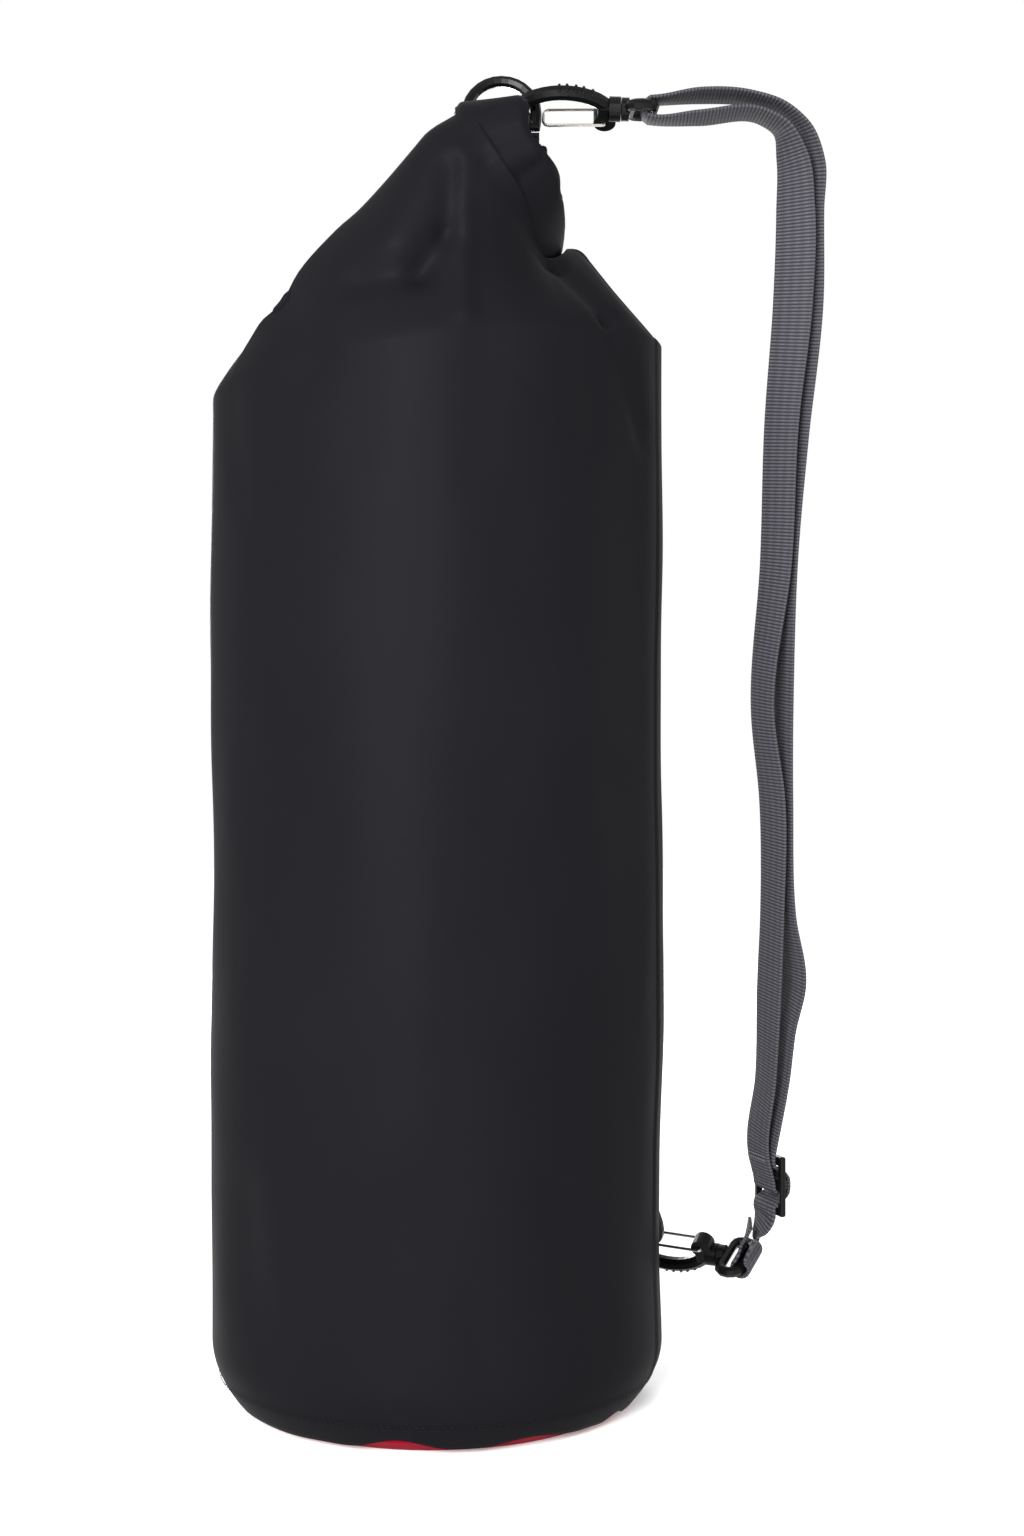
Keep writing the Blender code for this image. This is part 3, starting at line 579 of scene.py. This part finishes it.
# ---- webbing -----------------------------------------------------------------------------------
def smooth_run(stations, step):
    """Stations about a step apart on one curve that doesn't swing out where their spacing changes."""
    rows = [Vector((*middle, *across)) for middle, across in stations]
    gaps = [(Vector(b[:3]) - Vector(a[:3])).length for a, b in zip(rows, rows[1:])]
    rates = [(b - a) / gap for a, b, gap in zip(rows, rows[1:], gaps)]
    slopes = [rates[0]]
    for n in range(1, len(rates)):
        slopes.append((rates[n - 1] * gaps[n] + rates[n] * gaps[n - 1]) / (gaps[n - 1] + gaps[n]))
    slopes.append(rates[-1])
    line = []
    for n, gap in enumerate(gaps):
        parts = max(1, round(gap / step))
        for k in range(parts):
            t = k / parts
            line.append(rows[n] * (2 * t**3 - 3 * t**2 + 1) + slopes[n] * gap * (t**3 - 2 * t**2 + t)
                        + rows[n + 1] * (3 * t**2 - 2 * t**3) + slopes[n + 1] * gap * (t**3 - t**2))
    line.append(rows[-1])
    return [(Vector(row[:3]), Vector(row[3:])) for row in line]


def ribbon(name, stations, look, step=0.0022):
    """Webbing through (middle, across) stations, with a map of its length and width in metres."""
    line = smooth_run(stations, step)
    rows, along, run = [], [], 0.0
    for n, (middle, across) in enumerate(line):
        before, after = line[max(n - 1, 0)][0], line[min(n + 1, len(line) - 1)][0]
        way = (after - before).normalized()
        flat = (across - way * across.dot(way)).normalized()
        rows.append(rounded(middle, flat, way.cross(flat), WEB_WIDTH, WEB_THICKNESS, 2))
        if n:
            run += (middle - line[n - 1][0]).length
        along.append(run)
    half = len(rows[0]) // 2
    across_map = [WEB_WIDTH * (0.5 - abs(k - half) / half) for k in range(2 * half)]
    mesh = grid_mesh(name, rows, caps=True, uv=(along, across_map))
    return finish_piece(name, mesh, look, 60), run


def around(centre, out, up, radius, angles):
    """Points on an arc, at angles in degrees from out towards up."""
    return [centre + out * (radius * cos(radians(a))) + up * (radius * sin(radians(a))) for a in angles]


def eye_at(hook, bar):
    """The place of a hook's swivel eye, whose bar lies along bar."""
    x = hook.to_3x3() @ Vector((1, 0, 0))
    return frame_at(hook.translation, x, Vector(bar).cross(x))


SLIDER_TURN = radians(70)
SLIDER_ACROSS = Vector((cos(SLIDER_TURN), -sin(SLIDER_TURN), 0))
SLIDER_NORMAL = Vector((sin(SLIDER_TURN), cos(SLIDER_TURN), 0))
SLIDER = frame_at((0.1830, 0.0380, 0.1055), SLIDER_ACROSS, SLIDER_NORMAL)
# the strap in the slider: distance along the slider's normal, and height from its middle
SEWN_END = [
    (0.0032, 0.0030), (0.0032, -0.0016), (0.0026, -0.0029), (0.0014, -0.0035), (-0.0014, -0.0035),
    (-0.0026, -0.0029), (-0.0032, -0.0016), (-0.0035, 0.0010), (-0.0050, 0.0070), (-0.0066, 0.0130),
    (-0.0072, 0.0170),
]
WEAVE = [
    (-0.0034, 0.0165), (-0.0034, 0.0120), (-0.0028, 0.0106), (-0.0012, 0.0098), (0.0010, 0.0086),
    (0.0035, 0.0066), (0.0053, 0.0042), (0.0057, 0.0020), (0.0057, -0.0012), (0.0052, -0.0040),
    (0.0036, -0.0062), (0.0012, -0.0078), (-0.0012, -0.0092), (-0.0028, -0.0104), (-0.0034, -0.0120),
    (-0.0034, -0.0165),
]
# the strap's two long runs: x, y, z and the turn of its width in degrees
FRONT_RUN = [
    (0.1795, 0.0300, 0.1640, 72), (0.1807, 0.0237, 0.2135, 67), (0.1817, 0.0183, 0.2554, 68),
    (0.1807, 0.0100, 0.3182, 65), (0.1748, 0.0038, 0.3651, 69), (0.1807, -0.0072, 0.4464, 56),
    (0.1824, -0.0168, 0.5168, 52), (0.1873, -0.0257, 0.5804, 42), (0.1878, -0.0321, 0.6254, 45),
    (0.1854, -0.0360, 0.6529, 60), (0.1800, -0.0390, 0.6660, 80), (0.1690, -0.0400, 0.6725, 88),
    (0.1373, -0.0400, 0.6715, 92),
]
BACK_RUN = [
    (0.1373, -0.0400, 0.6830, 92), (0.1630, -0.0400, 0.6815, 90), (0.1815, -0.0385, 0.6750, 86),
    (0.1905, -0.0355, 0.6660, 75), (0.1950, -0.0310, 0.6500, 58), (0.1934, -0.0271, 0.6267, 46),
    (0.1935, -0.0207, 0.5815, 42), (0.1883, -0.0106, 0.5088, 52), (0.1845, -0.0022, 0.4469, 56),
    (0.1856, 0.0084, 0.3685, 69), (0.1856, 0.0150, 0.3182, 65), (0.1888, 0.0233, 0.2551, 68),
    (0.1948, 0.0282, 0.2168, 67), (0.1899, 0.0315, 0.1912, 68), (0.1873, 0.0350, 0.1636, 70),
]
TOP_HOOK = frame_at((0.0962, -0.0398, 0.6759), (-1, 0.001, 0.025), (0.010, -0.898, 0.440))
TOP_EYE = eye_at(TOP_HOOK, (0.07, 0.988, 0.12))
LOW_HOOK = frame_at((0.1551, 0.0480, 0.0630), (-0.911, 0.412, 0.020), (0.189, 0.460, -0.867))
LOW_EYE = eye_at(LOW_HOOK, (-0.35, -0.88, -0.32))


def eye_loop(eye, towards, radius, angles):
    """Stations of the webbing round an eye's bar, with its width on the side of towards."""
    bar = (eye.to_3x3() @ Vector((0, 0, 1))).normalized()
    bar = bar if bar.dot(towards) > 0 else -bar
    out = -(eye.to_3x3() @ Vector((1, 0, 0)))
    up = out.cross(bar)
    up = up if up.z > 0 else -up
    centre = eye @ Vector((-EYE_REACH, 0, 0))
    return [(p, bar) for p in around(centre, out, up, radius, angles)]


def strap_runs():
    """The strap's stations in two runs: round the top eye, and from the slider to the lower eye."""
    wrap = EYE_BAR_RADIUS + CLEARANCE + WEB_THICKNESS / 2
    n, d, s = SLIDER_NORMAL, SLIDER_ACROSS, SLIDER.translation

    def slider_points(pairs):
        return [(s + n * q + Vector((0, 0, z)), d) for q, z in pairs]

    def run_points(run):
        return [(Vector((x, y, z)), Vector((cos(radians(b)), -sin(radians(b)), 0))) for x, y, z, b in run]

    long_run = slider_points(SEWN_END) + run_points(FRONT_RUN)
    long_run += eye_loop(TOP_EYE, Vector((0, -1, 0)), wrap, (-80, -110, -145, -180, -215, -250, -280))
    long_run += run_points(BACK_RUN)
    weave = slider_points(WEAVE)
    long_run.append(weave[0])
    low_run = list(weave)
    last = low_run[-1][0]
    loop = eye_loop(LOW_EYE, d, wrap, (50, 15, -25, -65, -105, -145, -180, -215, -235))
    bar = loop[0][1]
    straight = last - loop[0][0]
    straight = (straight - bar * bar.dot(straight)).normalized()
    low_run.append((last.lerp(loop[0][0], 0.5), (d + bar).normalized()))
    low_run.append((loop[0][0] + straight * 0.005, bar))
    low_run += loop
    rise = (last - loop[0][0]).normalized()
    end = loop[-1][0]
    back = (last - end).normalized()
    low_run.append((end + rise * 0.008 + back * 0.0006, (bar + d * 0.25).normalized()))
    low_run.append((end + rise * 0.016 + back * 0.0010, (bar + d * 0.6).normalized()))
    return long_run, low_run


def make_strap():
    """The strap as two pieces, which meet in the slider."""
    long_run, low_run = strap_runs()
    upper, upper_length = ribbon("strap_long_run", long_run, WEBBING)
    lower, lower_length = ribbon("strap_lower_run", low_run, WEBBING)
    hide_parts("strap_webbing")
    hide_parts("strap_webbing")
    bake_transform(upper)
    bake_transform(lower)


# ---- details on the hardware -------------------------------------------------------------------
# a hook's grip ridges: a point of its spine, the lift to its surface there, and the surface's lean
GRIP_LINE = [
    (0.016, 0.0078, 0.0036, -0.35), (0.020, 0.0095, 0.0037, -0.12), (0.024, 0.0103, 0.0038, -0.12),
    (0.028, 0.0108, 0.0038, 0.05), (0.032, 0.0107, 0.0037, 0.05),
]
GRIP_SIZE = Matrix.Diagonal((0.00105, 0.00095, 0.0028, 1))
GATE_PIVOT = (0.0080, -0.0062)
PIN_RADIUS = 0.00085


def grip(name, hook, body):
    """Small ridges across a hook's back, for the thumb."""
    shape = bmesh.new()
    for x, y, lift, lean in GRIP_LINE:
        out = Vector((lean, 1, 0)).normalized()
        place = hook @ Matrix.Translation(Vector((x, y, 0)) + out * lift)
        bmesh.ops.create_icosphere(shape, subdivisions=3, radius=1, matrix=place @ GRIP_SIZE)
    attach(finish_piece(name, taken(name, shape), NYLON), body)


def pivot_pins(name, hook, body):
    """The bright ends of the gate wire that show in the hook's sides."""
    shape = bmesh.new()
    for side in (1, -1):
        place = hook @ Matrix.Translation((*GATE_PIVOT, side * 0.0040))
        bmesh.ops.create_cone(shape, cap_ends=True, segments=20, radius1=PIN_RADIUS, radius2=PIN_RADIUS,
                              depth=0.0008, matrix=place)
    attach(finish_piece(name, taken(name, shape), STEEL), body)


# ---- put it together ---------------------------------------------------------------------------
def dress_cad():
    """Materials for the pieces that stay as the CAD made them."""
    looks = {
        "base_panel": RED, "mouth_stiffener": STIFFENER, "bottom_patch": PATCH_TARP,
        "top_ring_tab": DARK_WEBBING, "bottom_ring_tab": DARK_WEBBING,
        "buckle_web_near": DARK_WEBBING, "buckle_web_far": DARK_WEBBING,
        "top_hook_gate": STEEL, "bottom_hook_gate": STEEL,
    }
    for name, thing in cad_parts.items():
        look = looks.get(name, NYLON)
        for place in thing.material_slots:
            place.link = "OBJECT"
            place.material = look


def sew_hem():
    """Two rows of stitches round the hem."""
    for n, height in enumerate((0.0150, 0.0168)):
        points, outward = hem_line(height, 0.0002)
        sewn = stitches("hem_stitches_%d" % n, points, outward, BLACK_THREAD, 0.0024, 0.0034, 0.00028)
        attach(sewn, "bag")


def sew_patch():
    """One row of stitches inside the lower patch's edge."""
    half = PATCH_WIDTH / 2 / BAG_RADIUS - 0.035
    radius = BAG_RADIUS + 0.0017
    low, high = 0.0415, 0.1225
    path = []
    for n in range(25):
        path.append((PATCH_ANGLE - half + 2 * half * n / 24, low))
    for n in range(1, 33):
        path.append((PATCH_ANGLE + half, low + (high - low) * n / 32))
    for n in range(1, 25):
        path.append((PATCH_ANGLE + half - 2 * half * n / 24, high))
    for n in range(1, 33):
        path.append((PATCH_ANGLE - half, high - (high - low) * n / 32))
    points = [Vector((radius * cos(a), radius * sin(a), z)) for a, z in path]
    normals = [Vector((cos(a), sin(a), 0)) for a, _ in path]
    sewn = stitches("patch_stitches", points, normals, BLACK_THREAD)
    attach(sewn, "bag")


def sew_strap():
    """Bar tacks that hold the strap's sewn end at the slider, in the grey thread of the webbing."""
    centre = SLIDER.translation - SLIDER_NORMAL * 0.0082 + Vector((0, 0, 0.0150))
    for n, rise in enumerate((-0.0012, 0.0012)):
        middle = centre + Vector((0, 0, rise))
        points = [middle + SLIDER_ACROSS * (0.021 * k / 12 - 0.0105) for k in range(13)]
        name = "slider_tack_%d" % n
        sewn = stitches(name, points, [-SLIDER_NORMAL] * 13, GREY_THREAD, 0.0016, 0.0022, 0.00025)
        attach(sewn, "slider")


def light(name, place, target, power, size):
    """A square studio light that faces a target."""
    lamp = bpy.data.lights.new(name, "AREA")
    lamp.energy = power
    lamp.size = size
    thing = bpy.data.objects.new(name, lamp)
    SCENE.collection.objects.link(thing)
    thing.location = place
    thing.rotation_euler = (Vector(target) - Vector(place)).to_track_quat("-Z", "Y").to_euler()


def make_stage():
    """White floor and surroundings, and the three lights."""
    mesh = bpy.data.meshes.new("floor")
    mesh.from_pydata([(-6, -6, 0), (6, -6, 0), (6, 6, 0), (-6, 6, 0)], [], [(0, 1, 2, 3)])
    floor = bpy.data.objects.new("floor", mesh)
    SCENE.collection.objects.link(floor)
    look = Look("floor_white")
    look.set(Base_Color=(0.90, 0.90, 0.90, 1), Roughness=0.9, Specular_IOR_Level=0.1)
    look.set(Emission_Color=(1, 1, 1, 1), Emission_Strength=0.16)
    mesh.materials.append(look.made)
    world = bpy.data.worlds.new("studio")
    SCENE.world = world
    world.use_nodes = True
    world.node_tree.nodes["Background"].inputs["Color"].default_value = (1, 1, 1, 1)
    world.node_tree.nodes["Background"].inputs["Strength"].default_value = 1.0
    light("key", (-0.65, -2.2, 0.95), (0.03, 0, 0.4), 130, 0.9)
    light("rim", (1.6, 0.5, 0.7), (0.05, 0, 0.4), 7, 0.8)
    light("back", (-0.35, 2.3, 0.9), (0.03, 0, 0.4), 38, 0.9)
    SCENE.view_settings.view_transform = "Standard"


make_stage()
dress_cad()
shell = make_shell()
make_roll()
make_strap()
grip("top_hook_grip", TOP_HOOK, "top_hook")
grip("bottom_hook_grip", LOW_HOOK, "bottom_hook")
pivot_pins("top_hook_pins", TOP_HOOK, "top_hook")
pivot_pins("bottom_hook_pins", LOW_HOOK, "bottom_hook")
sew_hem()
sew_patch()
sew_strap()
